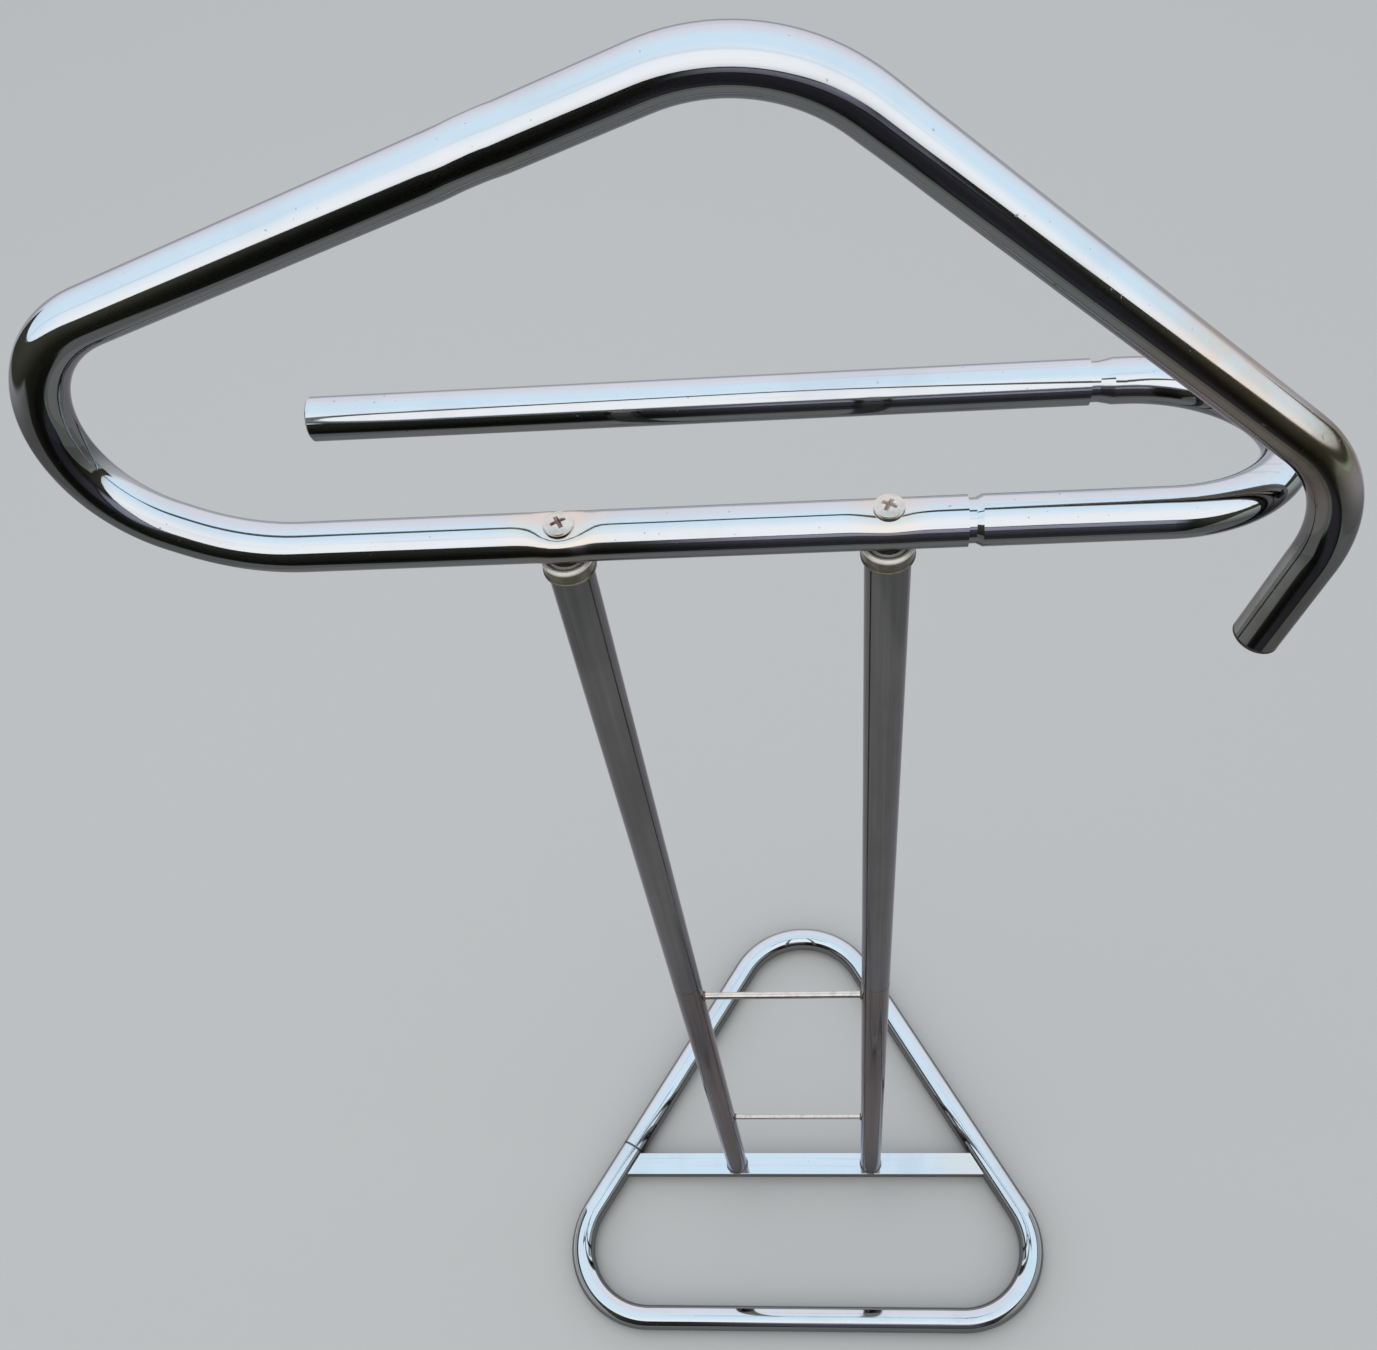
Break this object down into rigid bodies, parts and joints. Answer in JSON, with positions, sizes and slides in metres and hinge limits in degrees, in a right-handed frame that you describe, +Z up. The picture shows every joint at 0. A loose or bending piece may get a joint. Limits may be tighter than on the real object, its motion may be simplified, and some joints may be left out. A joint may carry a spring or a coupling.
{
  "type": "valet stand",
  "caption": "Free-standing valet stand of bent chromed tube: a coat hanger with a trouser bar behind it, carried by posts on a triangular floor loop.",
  "frame": {"origin": "on the floor, midway between the two posts' axes", "axes": "+Z up; +X along the front bar and the trouser bar, towards the bend that joins them; +Y to the back, from the front bar towards the trouser bar and the loop's single rear corner"},
  "size_m": [0.4949, 0.4006, 1.1132],
  "materials": {
    "chromed_tube": "bright chrome plate with fine scratches",
    "dark_chrome_posts": "chrome plate, slightly dulled, with fine scratches along the tube",
    "grey_crossbar": "dulled chrome plate",
    "nickel_fittings": "dulled plate with small rust specks",
    "plain_steel": "bare drawn tube",
    "black_plugs": "moulded plug"
  },
  "bodies": {
    "root": {"base_loop": "chromed_tube", "base_joint_sleeve": "plain_steel", "crossbar": "grey_crossbar", "left_lower_post": "dark_chrome_posts", "left_upper_post": "dark_chrome_posts", "left_post_spigot": "plain_steel", "left_post_cap": "nickel_fittings", "left_hanger_screw": "nickel_fittings", "right_lower_post": "dark_chrome_posts", "right_upper_post": "dark_chrome_posts", "right_post_spigot": "plain_steel", "right_post_cap": "nickel_fittings", "right_hanger_screw": "nickel_fittings", "lower_rung": "nickel_fittings", "upper_rung": "nickel_fittings", "hanger_tube": "chromed_tube", "hanger_end_plug": "black_plugs", "trouser_bend": "chromed_tube", "trouser_bar": "chromed_tube", "trouser_bar_end_plug": "nickel_fittings"}
  },
  "joints": []
}
